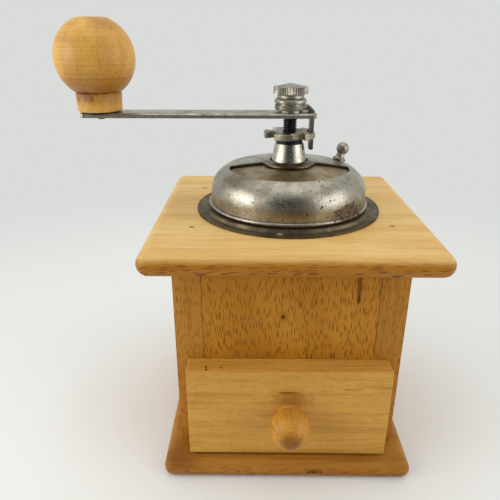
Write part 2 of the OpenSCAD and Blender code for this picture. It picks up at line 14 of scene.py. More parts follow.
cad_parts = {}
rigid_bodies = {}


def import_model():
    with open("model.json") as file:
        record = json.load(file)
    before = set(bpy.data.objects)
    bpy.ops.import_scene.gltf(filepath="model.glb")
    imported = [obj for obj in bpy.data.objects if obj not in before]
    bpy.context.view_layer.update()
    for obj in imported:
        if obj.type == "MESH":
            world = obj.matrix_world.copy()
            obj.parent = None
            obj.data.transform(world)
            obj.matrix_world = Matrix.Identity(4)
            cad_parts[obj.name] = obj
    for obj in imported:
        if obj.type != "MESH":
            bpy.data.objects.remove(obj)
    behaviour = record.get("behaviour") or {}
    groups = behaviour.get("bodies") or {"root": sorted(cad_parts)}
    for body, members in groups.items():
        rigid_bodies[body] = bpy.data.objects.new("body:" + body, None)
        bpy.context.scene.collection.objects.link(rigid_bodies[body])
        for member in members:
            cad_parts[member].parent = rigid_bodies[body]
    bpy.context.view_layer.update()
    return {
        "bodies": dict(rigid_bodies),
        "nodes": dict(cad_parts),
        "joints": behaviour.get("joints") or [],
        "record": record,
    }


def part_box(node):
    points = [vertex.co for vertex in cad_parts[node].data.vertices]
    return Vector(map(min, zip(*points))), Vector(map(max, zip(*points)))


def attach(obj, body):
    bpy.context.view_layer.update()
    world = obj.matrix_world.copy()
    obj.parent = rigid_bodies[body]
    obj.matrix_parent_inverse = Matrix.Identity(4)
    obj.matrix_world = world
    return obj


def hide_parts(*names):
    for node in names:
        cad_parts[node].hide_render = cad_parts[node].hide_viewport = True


LOG = logging.getLogger("grinder")
MM = 0.001
WELD = 1e-6  # how near two turned points lie that are one, in metres
SLIVER = 1e-7  # the shortest edge that is kept, in metres
CAD_WELD = 2e-6  # the same as WELD on a copied node, in metres
CAD_FLAT = 0.6  # the angle up to which faces of a copied node are one, in degrees
Point = tuple[float, float]
Triple = tuple[float, float, float]
Colour = Triple


class Grain(Enum):
    """Direction that a board's grain runs in, as the turn that lays it along the pattern's Z."""

    ACROSS = (0.0, math.pi / 2, 0.0)
    DEPTH = (math.pi / 2, 0.0, 0.0)
    UPRIGHT = (0.0, 0.0, 0.0)


# --- Node wiring ---


class Graph:
    """Adds and links nodes in one tree."""

    def __init__(self, tree: bpy.types.NodeTree) -> None:
        """Takes the tree that the nodes go into."""
        self.tree = tree

    def add(self, kind: str, inputs: dict | None = None, **settings: object) -> bpy.types.Node:
        """Adds one node.

        Args:
            kind: The node's type name without its ShaderNode prefix.
            inputs: A value, or another node's output, for each named or numbered socket.
            settings: Properties of the node itself.

        Returns:
            The new node.
        """
        prefix = "" if kind.startswith("NodeGroup") else "ShaderNode"
        node = self.tree.nodes.new(prefix + kind)
        for name, value in settings.items():
            setattr(node, name, value)
        for key, value in (inputs or {}).items():
            if isinstance(value, bpy.types.NodeSocket):
                self.tree.links.new(value, node.inputs[key])
            else:
                node.inputs[key].default_value = value
        return node

    def math(self, operation: str, *values: object) -> bpy.types.NodeSocket:
        """Returns the output of a Math node with those values."""
        return self.add("Math", dict(enumerate(values)), operation=operation).outputs[0]

    def ramp(self, value: object, low: float, high: float, start: float = 0.0,
             end: float = 1.0) -> bpy.types.NodeSocket:
        """Returns value eased from start to end while it goes from low to high."""
        node = self.add("MapRange", {"Value": value, "From Min": low, "From Max": high,
                                     "To Min": start, "To Max": end},
                        interpolation_type="SMOOTHSTEP")
        return node.outputs[0]

    def mix(self, factor: object, a: object, b: object) -> bpy.types.NodeSocket:
        """Blends two colours.

        Args:
            factor: How far the blend goes from a to b.
            a: A colour or another node's output.
            b: A colour or another node's output.

        Returns:
            The blended colour.
        """
        a = (*a, 1.0) if isinstance(a, tuple) and len(a) == 3 else a
        b = (*b, 1.0) if isinstance(b, tuple) and len(b) == 3 else b
        node = self.add("Mix", {0: factor, 6: a, 7: b}, data_type="RGBA")
        return node.outputs[2]

    def tint(self, factor: object, colour: object, tint: Colour) -> bpy.types.NodeSocket:
        """Returns the colour multiplied by a tint as far as factor says."""
        node = self.add("Mix", {0: factor, 6: colour, 7: (*tint, 1.0)}, data_type="RGBA",
                        blend_type="MULTIPLY")
        return node.outputs[2]

    def reach(self, at: object, centre: object, radii: object) -> bpy.types.NodeSocket:
        """Returns how far a place lies from a centre, as a share of the radii.

        Args:
            at: The place.
            centre: The centre that it is measured from.
            radii: The distance along each axis that counts as 1.

        Returns:
            The share: 0 at the centre, 1 at the radii.
        """
        away = self.add("VectorMath", {0: at, 1: centre}, operation="SUBTRACT").outputs[0]
        share = self.add("VectorMath", {0: away, 1: radii}, operation="DIVIDE").outputs[0]
        return self.add("VectorMath", {0: share}, operation="LENGTH").outputs["Value"]

    def unseen(self, amount: object) -> bpy.types.NodeSocket:
        """Returns amount for light and reflections, and 0 for what the camera sees directly."""
        seen = self.add("LightPath").outputs["Is Camera Ray"]
        return self.math("MULTIPLY", amount, self.math("SUBTRACT", 1.0, seen))

    def noise(self, vector: object, scale: float, detail: float = 3.0,
              rough: float = 0.5) -> bpy.types.NodeSocket:
        """Returns the factor of a noise texture."""
        node = self.add("TexNoise", {"Vector": vector, "Scale": scale, "Detail": detail,
                                     "Roughness": rough})
        return node.outputs[0]

    def stretch(self, vector: object, size: Triple,
                offset: Triple = (0.0, 0.0, 0.0)) -> bpy.types.NodeSocket:
        """Returns vector scaled along each axis and moved."""
        return self.add("Mapping", {"Vector": vector, "Scale": size,
                                    "Location": offset}).outputs[0]


def group(name: str, inputs: Iterable[tuple], outputs: Iterable[tuple],
          build: Callable[[Graph, bpy.types.Node], dict]) -> bpy.types.NodeTree:
    """Makes a shader node group once, and returns the same one afterwards.

    Args:
        name: The group's name.
        inputs: A name, a socket type and a default for each input.
        outputs: A name and a socket type for each output.
        build: Adds the nodes, and returns the socket that feeds each output.

    Returns:
        The node group.
    """
    if name in bpy.data.node_groups:
        return bpy.data.node_groups[name]
    tree = bpy.data.node_groups.new(name, "ShaderNodeTree")
    for label, kind, default in inputs:
        socket = tree.interface.new_socket(label, in_out="INPUT", socket_type="NodeSocket" + kind)
        if default is not None:
            socket.default_value = default
    for label, kind in outputs:
        tree.interface.new_socket(label, in_out="OUTPUT", socket_type="NodeSocket" + kind)
    graph = Graph(tree)
    given = tree.nodes.new("NodeGroupInput")
    result = tree.nodes.new("NodeGroupOutput")
    for label, socket in build(graph, given).items():
        tree.links.new(socket, result.inputs[label])
    return tree


def soft_spot() -> bpy.types.NodeTree:
    """A ragged ellipsoidal patch: 1 at its centre, 0 outside it. All in millimetres."""

    def build(g: Graph, given: bpy.types.Node) -> dict:
        """Adds the patch's nodes and returns its mask."""
        reach = g.reach(given.outputs["Vector"], given.outputs["Centre"], given.outputs["Radii"])
        ragged = g.noise(given.outputs["Vector"], 0.45, 4.0, 0.6)
        edge = g.math("MULTIPLY_ADD", g.math("SUBTRACT", ragged, 0.5), given.outputs["Ragged"], reach)
        return {"Mask": g.ramp(edge, 1.0, given.outputs["Core"], 0.0, 1.0)}

    return group("soft_spot", [("Vector", "Vector", None), ("Centre", "Vector", None),
                               ("Radii", "Vector", (1.0, 1.0, 1.0)), ("Ragged", "Float", 0.6),
                               ("Core", "Float", 0.3)], [("Mask", "Float")], build)


def beech_grain() -> bpy.types.NodeTree:
    """Beech with its grain along Z, in millimetres: tone, growth lines, ray flecks and pores."""

    def build(g: Graph, given: bpy.types.Node) -> dict:
        """Adds the grain's nodes and returns its colour, roughness and height."""
        at = given.outputs["Vector"]
        tone = g.noise(g.stretch(at, (0.050, 0.050, 0.010)), 1.0, 3.0, 0.55)
        drift = g.add("TexNoise", {"Vector": g.stretch(at, (0.03, 0.03, 0.012)), "Scale": 1.0})
        wander = g.add("VectorMath", {0: drift.outputs["Color"], "Scale": 9.0}, operation="SCALE")
        bent = g.add("VectorMath", {0: at, 1: wander.outputs[0]}, operation="ADD").outputs[0]
        lines = g.noise(g.stretch(bent, (0.40, 0.40, 0.006)), 1.0, 5.0, 0.65)
        fine = g.noise(g.stretch(at, (2.2, 2.2, 0.10)), 1.0, 3.0, 0.65)
        strewn = g.add("VectorMath", {0: at, 1: given.outputs["Fleck Size"]}, operation="MULTIPLY")
        apart = g.add("SeparateXYZ", {0: strewn.outputs[0]})
        across = g.math("ADD", apart.outputs["X"], apart.outputs["Y"])
        flat = g.add("CombineXYZ", {"X": across, "Y": apart.outputs["Z"]}).outputs[0]
        cells = g.add("TexVoronoi", {"Vector": flat, "Scale": 1.0, "Randomness": 0.82},
                      voronoi_dimensions="2D")
        drawn = g.add("SeparateColor", {0: cells.outputs["Color"]})
        reach = g.math("MULTIPLY_ADD", drawn.outputs[1], 0.13, 0.20)
        present = g.math("GREATER_THAN", drawn.outputs[0], 0.30)
        fleck = g.ramp(g.math("SUBTRACT", cells.outputs["Distance"], reach), 0.03, -0.10)
        fleck = g.math("MULTIPLY", g.math("MULTIPLY", fleck, present), given.outputs["Fleck"])
        small = g.add("TexVoronoi", {"Vector": g.stretch(at, (0.85, 0.85, 0.15)), "Scale": 1.0})
        tick = g.math("MULTIPLY", g.ramp(small.outputs["Distance"], 0.30, 0.10), given.outputs["Tick"])
        base = g.mix(g.ramp(tone, 0.30, 0.72), given.outputs["Light"], given.outputs["Mid"])
        lined = g.mix(g.math("MULTIPLY", g.ramp(lines, 0.44, 0.72), given.outputs["Lines"]),
                      base, given.outputs["Dark"])
        pale = g.math("MULTIPLY", g.ramp(lines, 0.44, 0.24), given.outputs["Lines"])
        lit = g.mix(g.math("MULTIPLY", pale, 0.6), lined, given.outputs["Light"])
        pored = g.mix(g.math("MULTIPLY", g.ramp(fine, 0.50, 0.75), 0.42), lit, given.outputs["Dark"])
        marks = g.math("MAXIMUM", fleck, tick)
        flecked = g.mix(marks, pored, given.outputs["Fleck Colour"])
        height = g.math("MULTIPLY", g.math("ADD", marks, g.math("MULTIPLY", fine, 0.8)), -1.0)
        rough = g.math("MULTIPLY_ADD", fine, 0.12, g.math("MULTIPLY_ADD", tone, 0.10,
                                                           given.outputs["Roughness"]))
        return {"Color": flecked, "Roughness": rough, "Height": height}

    white = (1.0, 1.0, 1.0, 1.0)
    return group("beech_grain", [("Vector", "Vector", None), ("Light", "Color", white),
                                 ("Mid", "Color", white), ("Dark", "Color", white),
                                 ("Fleck Colour", "Color", white), ("Fleck", "Float", 0.5),
                                 ("Fleck Size", "Vector", (0.52, 0.52, 0.08)),
                                 ("Tick", "Float", 0.3), ("Lines", "Float", 0.4),
                                 ("Roughness", "Float", 0.4)],
                 [("Color", "Color"), ("Roughness", "Float"), ("Height", "Float")], build)


def worn_plate() -> bpy.types.NodeTree:
    """Old plated steel, in millimetres: clouds of stain, pits, specks and rust where it is let in."""

    def build(g: Graph, given: bpy.types.Node) -> dict:
        """Adds the plate's nodes and returns its colour, metal share, roughness and height."""
        at = given.outputs["Vector"]
        cloud = g.noise(at, 0.11, 5.0, 0.6)
        grit = g.noise(at, 1.3, 4.0, 0.65)
        gather = g.ramp(g.noise(at, 0.05, 3.0, 0.6), 0.40, 0.62, 0.15, 1.0)
        pits = g.add("TexVoronoi", {"Vector": at, "Scale": 0.80})
        drawn = g.add("SeparateColor", {0: pits.outputs["Color"]})
        size = g.math("MULTIPLY_ADD", drawn.outputs[1], 0.22, 0.11)
        pit = g.math("MULTIPLY", g.math("LESS_THAN", pits.outputs["Distance"], size),
                     g.math("LESS_THAN", drawn.outputs[0], g.math("MULTIPLY", gather, 0.80)))
        spots = g.add("TexVoronoi", {"Vector": at, "Scale": 0.16})
        chance = g.add("SeparateColor", {0: spots.outputs["Color"]}).outputs[0]
        spot = g.math("MULTIPLY", g.ramp(spots.outputs["Distance"], 0.13, 0.05),
                      g.math("LESS_THAN", chance, 0.5))
        speck = g.math("MULTIPLY", g.ramp(grit, 0.60, 0.72), gather)
        marks = g.math("MULTIPLY", g.math("MAXIMUM", g.math("MAXIMUM", pit, spot), speck),
                       given.outputs["Pits"])
        crust = g.noise(at, 0.55, 8.0, 0.72)
        eaten = g.ramp(g.math("ADD", crust, given.outputs["Rust"]), 0.92, 1.06)
        stain = g.math("MULTIPLY", g.ramp(cloud, 0.40, 0.66), given.outputs["Stain"])
        halo = g.math("MAXIMUM", stain, g.math("MULTIPLY", g.ramp(
            g.math("ADD", cloud, given.outputs["Rust"]), 0.62, 1.15), 0.85))
        plain = g.mix(halo, given.outputs["Plate"], given.outputs["Stain Colour"])
        pitted = g.mix(marks, plain, given.outputs["Pit Colour"])
        crumbs = g.mix(g.ramp(g.noise(at, 1.1, 5.0, 0.7), 0.35, 0.65), given.outputs["Pit Colour"],
                       given.outputs["Rust Colour"])
        colour = g.mix(eaten, pitted, crumbs)
        bare = g.math("SUBTRACT", 1.0, g.math("MAXIMUM", eaten, g.math("MULTIPLY", marks, 0.75)))
        rough = g.math("MULTIPLY_ADD", halo, 0.20, g.math("MULTIPLY_ADD", grit, 0.16,
                                                           given.outputs["Roughness"]))
        rough = g.math("MAXIMUM", rough, g.math("MULTIPLY", eaten, 0.85))
        height = g.math("SUBTRACT", g.math("MULTIPLY", eaten, crust),
                        g.math("ADD", marks, g.math("MULTIPLY", grit, 1.8)))
        return {"Color": colour, "Metallic": bare, "Roughness": rough, "Height": height}

    grey = (0.5, 0.5, 0.5, 1.0)
    return group("worn_plate", [("Vector", "Vector", None), ("Plate", "Color", grey),
                                ("Stain Colour", "Color", grey), ("Pit Colour", "Color", grey),
                                ("Rust Colour", "Color", grey), ("Pits", "Float", 0.5),
                                ("Stain", "Float", 0.4), ("Rust", "Float", 0.0),
                                ("Roughness", "Float", 0.25)],
                 [("Color", "Color"), ("Metallic", "Float"), ("Roughness", "Float"),
                  ("Height", "Float")], build)


# --- Finishes ---


@dataclass(frozen=True)
class Spot:
    """A patch of another colour on a surface, in millimetres."""

    centre: Triple
    radii: Triple
    colour: Colour = (0.05, 0.03, 0.015)
    strength: float = 0.8
    ragged: float = 0.6
    core: float = 0.3
    tints: bool = False

    def over(self, g: Graph, at: bpy.types.NodeSocket,
             colour: bpy.types.NodeSocket) -> bpy.types.NodeSocket:
        """Returns the colour with the patch painted or, if it tints, multiplied over it."""
        lay = g.tint if self.tints else g.mix
        return lay(self.mask(g, at), colour, self.colour)

    def mask(self, g: Graph, at: bpy.types.NodeSocket) -> bpy.types.NodeSocket:
        """Returns the patch's mask on that position."""
        node = g.add("Group", node_tree=soft_spot())
        g.tree.links.new(at, node.inputs["Vector"])
        for name, value in (("Centre", self.centre), ("Radii", self.radii),
                            ("Ragged", self.ragged), ("Core", self.core)):
            node.inputs[name].default_value = value
        return g.math("MULTIPLY", node.outputs[0], self.strength)


def surface(name: str) -> tuple[Graph, bpy.types.Node, bpy.types.NodeSocket]:
    """Starts a material.

    Args:
        name: The material's name.

    Returns:
        Its graph, its Principled shader and its Object coordinates in millimetres.
    """
    material = bpy.data.materials.new(name)
    material.use_nodes = True
    g = Graph(material.node_tree)
    shader = material.node_tree.nodes["Principled BSDF"]
    place = g.add("TexCoord").outputs["Object"]
    at = g.add("VectorMath", {0: place, "Scale": 1.0 / MM}, operation="SCALE").outputs[0]
    return g, shader, at


@dataclass(frozen=True)
class Wood:
    """Varnished beech."""

    name: str
    grain: Grain = Grain.UPRIGHT
    light: Colour = (0.63, 0.385, 0.150)
    mid: Colour = (0.54, 0.305, 0.105)
    dark: Colour = (0.37, 0.185, 0.050)
    fleck_colour: Colour = (0.17, 0.075, 0.020)
    fleck: float = 0.55
    fleck_size: Triple = (0.5, 0.5, 0.085)
    tick: float = 0.25
    lines: float = 0.35
    rough: float = 0.36
    tilt: float = 0.02
    offset: Triple = (0.0, 0.0, 0.0)
    spots: tuple[Spot, ...] = ()
    relief: float = 0.10
    gloss: float = 0.35
    edge: tuple[float, float] | None = None
    edge_tint: Colour = (0.80, 0.62, 0.38)
    turned: Triple | None = None

    def material(self) -> bpy.types.Material:
        """Returns the wood's material."""
        g, shader, at = surface(self.name)
        turn = tuple(a + self.tilt for a in self.grain.value)
        along = g.add("Mapping", {"Vector": at, "Rotation": turn, "Location": self.offset}).outputs[0]
        grain = g.add("Group", node_tree=beech_grain())
        g.tree.links.new(along, grain.inputs["Vector"])
        for socket, colour in (("Light", self.light), ("Mid", self.mid), ("Dark", self.dark),
                               ("Fleck Colour", self.fleck_colour)):
            grain.inputs[socket].default_value = (*colour, 1.0)
        for socket, value in (("Fleck", self.fleck), ("Tick", self.tick), ("Lines", self.lines),
                              ("Roughness", self.rough), ("Fleck Size", self.fleck_size)):
            grain.inputs[socket].default_value = value
        colour = grain.outputs["Color"]
        height = grain.outputs["Height"]
        if self.edge:
            level = g.add("SeparateXYZ", {0: at}).outputs["Z"]
            low = g.ramp(level, *self.edge)
            g.tree.links.new(g.math("MULTIPLY", low, self.fleck), grain.inputs["Fleck"])
            colour = g.tint(low, colour, self.edge_tint)
        if self.turned:
            rings = g.noise(g.stretch(at, self.turned), 1.0, 3.0, 0.6)
            colour = g.mix(g.math("MULTIPLY", g.ramp(rings, 0.52, 0.66), 0.20), colour, self.dark)
            colour = g.mix(g.math("MULTIPLY", g.ramp(rings, 0.46, 0.34), 0.35), colour, self.light)
            height = g.math("ADD", height, g.math("MULTIPLY", rings, -1.6))
        for spot in self.spots:
            colour = spot.over(g, at, colour)
        bump = g.add("Bump", {"Height": height, "Strength": 0.4, "Distance": self.relief * MM})
        g.tree.links.new(colour, shader.inputs["Base Color"])
        g.tree.links.new(grain.outputs["Roughness"], shader.inputs["Roughness"])
        g.tree.links.new(bump.outputs[0], shader.inputs["Normal"])
        shader.inputs["Specular IOR Level"].default_value = self.gloss
        return bpy.data.materials[self.name]


@dataclass(frozen=True)
class Plate:
    """Plated or bare steel that has aged."""

    name: str
    plate: Colour = (0.60, 0.575, 0.515)
    stain_colour: Colour = (0.36, 0.32, 0.25)
    pit_colour: Colour = (0.055, 0.035, 0.02)
    rust_colour: Colour = (0.19, 0.085, 0.03)
    pits: float = 0.7
    stain: float = 0.4
    rust: float = 0.0
    rough: float = 0.22
    rust_spots: tuple[Spot, ...] = ()
    spots: tuple[Spot, ...] = ()
    relief: float = 0.12
    crevice_grime_and_shade: float = 0.9
    crevice_reach: float = 1.6

    def material(self) -> bpy.types.Material:
        """Returns the metal's material."""
        g, shader, at = surface(self.name)
        plate = g.add("Group", node_tree=worn_plate())
        g.tree.links.new(at, plate.inputs["Vector"])
        for socket, colour in (("Plate", self.plate), ("Stain Colour", self.stain_colour),
                               ("Pit Colour", self.pit_colour), ("Rust Colour", self.rust_colour)):
            plate.inputs[socket].default_value = (*colour, 1.0)
        for socket, value in (("Pits", self.pits), ("Stain", self.stain),
                              ("Roughness", self.rough), ("Rust", self.rust)):
            plate.inputs[socket].default_value = value
        if self.rust_spots:
            let_in = g.math("ADD", self.rust, self.rust_spots[0].mask(g, at))
            for spot in self.rust_spots[1:]:
                let_in = g.math("MAXIMUM", let_in, spot.mask(g, at))
            g.tree.links.new(let_in, plate.inputs["Rust"])
        colour = plate.outputs["Color"]
        for spot in self.spots:
            colour = spot.over(g, at, colour)
        # crevices darkened from ambient occlusion: partly grime, partly painted shade
        nook = g.add("AmbientOcclusion", {"Distance": self.crevice_reach * MM}, samples=6,
                     only_local=True).outputs["AO"]
        crevice_grime_and_shade_mask = g.math("MULTIPLY", g.ramp(nook, 0.80, 0.35), self.crevice_grime_and_shade)
        colour = g.mix(crevice_grime_and_shade_mask, colour, self.pit_colour)
        bare = g.math("MULTIPLY", plate.outputs["Metallic"], g.math("SUBTRACT", 1.0, crevice_grime_and_shade_mask))
        bump = g.add("Bump", {"Height": plate.outputs["Height"], "Strength": 0.5,
                              "Distance": self.relief * MM})
        g.tree.links.new(colour, shader.inputs["Base Color"])
        g.tree.links.new(bare, shader.inputs["Metallic"])
        g.tree.links.new(plate.outputs["Roughness"], shader.inputs["Roughness"])
        g.tree.links.new(bump.outputs[0], shader.inputs["Normal"])
        return bpy.data.materials[self.name]


def stain(centre: Triple, radii: Triple, tint: Colour, strength: float, ragged: float = 0.6,
          core: float = 0.3) -> Spot:
    """Returns a patch that multiplies the colour under it by a tint; it paints stains, and also
    painted light and shade.
    """
    return Spot(centre, radii, tint, strength, ragged, core, True)


def rust(centre: Triple, radii: Triple, strength: float, ragged: float, core: float = 0.3) -> Spot:
    """Returns a patch that lets rust in."""
    return Spot(centre, radii, strength=strength, ragged=ragged, core=core)


NAIL_STAIN = (0.16, 0.10, 0.05)
NAIL_PLACES = ((-52.3, -35.7), (53.6, -33.0), (-52.2, 38.4), (53.0, 38.0))
# painted light: the board's colours are raised to stand for the sheen on its top face, and the edge
# tint darkens them again below 138.6 mm, on its rounded sides
TOP_WOOD = Wood(
    "beech_top_board", Grain.ACROSS, light=(0.79, 0.525, 0.195), mid=(0.70, 0.408, 0.110),
    dark=(0.49, 0.240, 0.042), fleck_colour=(0.27, 0.095, 0.005), fleck=0.85,
    fleck_size=(1.15, 1.15, 0.10), tick=0.16, lines=0.45, offset=(3.0, 40.0, 7.0), rough=0.34,
    gloss=0.28, edge=(138.6, 135.0), edge_tint=(0.61, 0.395, 0.075),
    spots=tuple(Spot((x, y, 140.0), (2.2, 2.0, 4.0), NAIL_STAIN, 0.9) for x, y in NAIL_PLACES))

PANEL_MARKS = (
    # the knot with its halo
    stain((-3.7, -50.0, 94.4), (4.2, 4.0, 5.5), (0.55, 0.38, 0.3), 0.7, 0.4, 0.1),
    Spot((-3.7, -50.0, 94.4), (1.5, 4.0, 1.7), (0.05, 0.012, 0.003), 0.95, 0.5),
    # the dark streak and its darkest stretch
    stain((35.6, -50.0, 114.0), (1.9, 4.0, 15.0), (0.34, 0.24, 0.2), 0.85, 0.9, 0.2),
    Spot((35.8, -50.0, 105.5), (1.4, 4.0, 4.0), (0.07, 0.02, 0.004), 0.8, 0.8),
    # dirt in the joints beside the panel
    Spot((-47.5, -50.0, 90.0), (0.7, 3.0, 60.0), (0.16, 0.08, 0.04), 0.75, 0.8),
    Spot((47.5, -50.0, 90.0), (0.7, 3.0, 60.0), (0.12, 0.05, 0.02), 0.8, 0.8),
    # shade under the top board
    stain((0.0, -50.0, 130.0), (70.0, 6.0, 9.0), (0.62, 0.55, 0.45), 0.5, 0.2, 0.1))
PANEL_WOOD = Wood(
    "beech_front_panel", Grain.UPRIGHT, light=(0.59, 0.258, 0.026), mid=(0.49, 0.200, 0.016),
    dark=(0.34, 0.120, 0.008), fleck_colour=(0.17, 0.050, 0.002), fleck=0.88,
    fleck_size=(1.12, 1.12, 0.118), tick=0.10, lines=0.22, gloss=0.14, offset=(11.0, 5.0, 0.0),
    tilt=0.16, spots=PANEL_MARKS)
SIDE_WOOD = Wood(
    "beech_side_boards", Grain.UPRIGHT, light=(0.56, 0.258, 0.036), mid=(0.47, 0.205, 0.024),
    dark=(0.31, 0.112, 0.009), fleck_colour=(0.20, 0.06, 0.005), fleck=0.6,
    fleck_size=(0.95, 0.95, 0.15), tick=0.25, lines=0.45, offset=(50.0, 21.0, 0.0), gloss=0.16)

DRAWER_DENTS = ((-45.0, -58.5, 1.0), (-44.6, -60.6, 1.1), (-37.0, -58.8, 0.9))
DRAWER_MARKS = (
    # painted light: the top face made lighter
    stain((0.0, -58.0, 69.2), (75.0, 30.0, 1.6), (1.06, 1.10, 1.20), 1.0, 0.0, 0.7),
    # three dark dents in it
    *(Spot((x, y, 68.0), (r, r, 1.5), (0.03, 0.012, 0.006), 1.0, 0.4) for x, y, r in DRAWER_DENTS),
    # the mark over the pull and the grime round it
    Spot((0.0, -62.7, 54.5), (9.0, 4.0, 1.0), (0.20, 0.08, 0.015), 0.8, 0.9),
    stain((2.0, -62.7, 50.0), (15.0, 4.0, 9.0), (0.52, 0.40, 0.28), 0.65, 0.9, 0.1),
    # a scuff beside it
    stain((33.0, -62.7, 57.0), (9.0, 4.0, 0.8), (0.45, 0.32, 0.2), 0.7, 1.0, 0.2),
    # the darker foot
    stain((0.0, -62.7, 11.0), (70.0, 4.0, 6.0), (0.60, 0.48, 0.36), 0.6, 0.4, 0.1))
DRAWER_WOOD = Wood(
    "beech_drawer_front", Grain.ACROSS, light=(0.69, 0.375, 0.076), mid=(0.57, 0.280, 0.044),
    dark=(0.38, 0.155, 0.016), fleck_colour=(0.24, 0.10, 0.02), fleck=0.16,
    fleck_size=(0.5, 0.5, 0.16), tick=0.16, lines=0.5, offset=(9.0, -30.0, 66.0), gloss=0.22,
    spots=DRAWER_MARKS)
RAW_WOOD = Wood(
    "beech_inside", Grain.DEPTH, light=(0.52, 0.33, 0.14), mid=(0.45, 0.27, 0.10),
    dark=(0.30, 0.16, 0.05), fleck=0.3, tick=0.2, lines=0.4, rough=0.6, gloss=0.2)

BASE_MARKS = (
    # painted shadow at the left front corner, and the right front corner darker too
    stain((-62.0, -64.0, 9.0), (18.0, 16.0, 6.0), (0.58, 0.50, 0.44), 0.9, 0.9, 0.1),
    stain((62.0, -64.0, 9.0), (12.0, 12.0, 5.0), (0.70, 0.62, 0.55), 0.6, 0.9, 0.1),
    # the stain on the front edge with a row of dark dots
    stain((15.0, -70.0, 5.5), (6.0, 4.0, 2.2), (0.45, 0.30, 0.2), 0.8, 0.8, 0.2),
    *(Spot((x, -70.0, 5.0 + 0.3 * (x % 2)), (0.8, 4.0, 0.8), (0.02, 0.01, 0.005), 1.0, 0.4)
      for x in (12.0, 14.5, 16.5, 19.0)))
BASE_WOOD = Wood(
    "beech_base_board", Grain.ACROSS, light=(0.445, 0.196, 0.028), mid=(0.355, 0.150, 0.017),
    dark=(0.24, 0.085, 0.008), fleck_colour=(0.10, 0.034, 0.006), fleck=0.7,
    fleck_size=(1.20, 1.20, 0.11), tick=0.16, lines=0.5, offset=(77.0, 10.0, 12.0), gloss=0.18,
    edge=(9.0, 6.5), edge_tint=(1.0, 0.95, 0.9), spots=BASE_MARKS)

KNOB_MARKS = (
    # the darker lower part of the ball and its collar: partly dirt, partly painted shade
    stain((-104.0, 0.0, 207.0), (70.0, 70.0, 12.0), (0.55, 0.41, 0.27), 0.85, 0.3, 0.2),
    # a dark ring at the collar's foot and a darker patch on its side
    Spot((-104.0, 0.0, 205.0), (16.0, 16.0, 1.8), (0.07, 0.022, 0.004), 0.95, 0.6),
    stain((-109.0, -11.0, 203.2), (12.0, 8.0, 4.2), (0.48, 0.34, 0.22), 0.8, 2.6, 0.2),
    # the dark line between collar and ball
    stain((-104.0, 0.0, 212.2), (30.0, 30.0, 0.8), (0.35, 0.22, 0.14), 0.6, 0.3, 0.3),
    # the worn patch at the upper right
    stain((-90.0, -12.0, 240.0), (18.0, 14.0, 7.0), (0.55, 0.38, 0.3), 0.55, 1.0, 0.2),
    # painted light on the left side
    stain((-124.0, -12.0, 220.0), (16.0, 16.0, 15.0), (1.20, 1.30, 1.34), 1.0, 0.2, 0.2))
KNOB_WOOD = Wood(
    "beech_crank_knob", Grain.UPRIGHT, light=(0.80, 0.450, 0.090), mid=(0.62, 0.305, 0.044),
    dark=(0.34, 0.130, 0.012), fleck=0.10, tick=0.42, lines=0.30, rough=0.28, gloss=0.40,
    offset=(104.0, 0.0, 0.0), turned=(0.02, 0.02, 1.1), spots=KNOB_MARKS)

PULL_MARKS = (
    # the dark end of the ball, and painted shadow at its foot
    stain((0.0, -84.4, 39.8), (8.2, 5.0, 8.4), (0.46, 0.33, 0.14), 0.9, 0.6, 0.3),
    stain((0.0, -66.0, 40.0), (9.0, 3.0, 9.0), (0.35, 0.24, 0.16), 0.7, 0.4, 0.2))
PULL_WOOD = Wood(
    "beech_drawer_knob", Grain.DEPTH, light=(0.64, 0.300, 0.038), mid=(0.49, 0.208, 0.020),
    dark=(0.30, 0.105, 0.010), fleck=0.1, tick=0.4, lines=0.5, rough=0.30, gloss=0.25,
    turned=(0.02, 0.9, 0.02), spots=PULL_MARKS)

# two darker rings round the cap nut's lower part
CAP_DARK_RINGS = (
    stain((0.0, 0.0, 203.2), (9.0, 9.0, 1.1), (0.34, 0.24, 0.15), 0.9, 0.4, 0.3),
    stain((0.0, 0.0, 201.0), (9.8, 9.8, 0.5), (0.25, 0.18, 0.12), 0.8, 0.4, 0.3))
NICKEL = Plate(
    "worn_nickel", plate=(0.42, 0.395, 0.335), stain_colour=(0.20, 0.165, 0.115), pits=0.85,
    stain=0.7, rough=0.22, spots=CAP_DARK_RINGS)
PAWL_STEEL = Plate(
    "dark_worn_nickel", plate=(0.30, 0.275, 0.22), stain_colour=(0.11, 0.088, 0.06), pits=0.85,
    stain=0.9, rust=0.08, rough=0.28)

DOME_MARKS = (
    # the browner rim and the browner crown
    stain((0.0, 0.0, 140.0), (49.0, 49.0, 12.0), (0.62, 0.48, 0.32), 0.7, 0.3, 0.5),
    stain((0.0, -4.0, 167.0), (21.0, 21.0, 5.0), (0.42, 0.28, 0.15), 0.85, 0.5, 0.45),
    # painted reflection: a dark patch at the front
    stain((0.0, -45.0, 150.0), (15.0, 10.0, 4.5), (0.62, 0.46, 0.36), 0.7, 0.3, 0.1),
    # three deep pits
    Spot((14.7, -41.0, 153.1), (1.05, 2.4, 1.05), (0.03, 0.018, 0.01), 1.0, 0.5),
    Spot((19.2, -38.3, 155.5), (0.75, 2.4, 0.75), (0.03, 0.018, 0.01), 1.0, 0.5),
    Spot((7.2, -43.5, 149.7), (0.90, 2.4, 0.90), (0.04, 0.025, 0.015), 1.0, 0.5))
DOME_RUST = (
    rust((0.0, 0.0, 169.0), (19.0, 19.0, 5.0), 0.58, 0.8, 0.2),
    rust((31.0, -33.0, 146.5), (24.0, 22.0, 11.0), 0.54, 1.3),
    rust((0.0, -45.0, 143.0), (50.0, 30.0, 4.6), 0.43, 0.9),
    rust((0.0, -3.0, 165.0), (36.0, 1.6, 6.0), 0.6, 0.8))
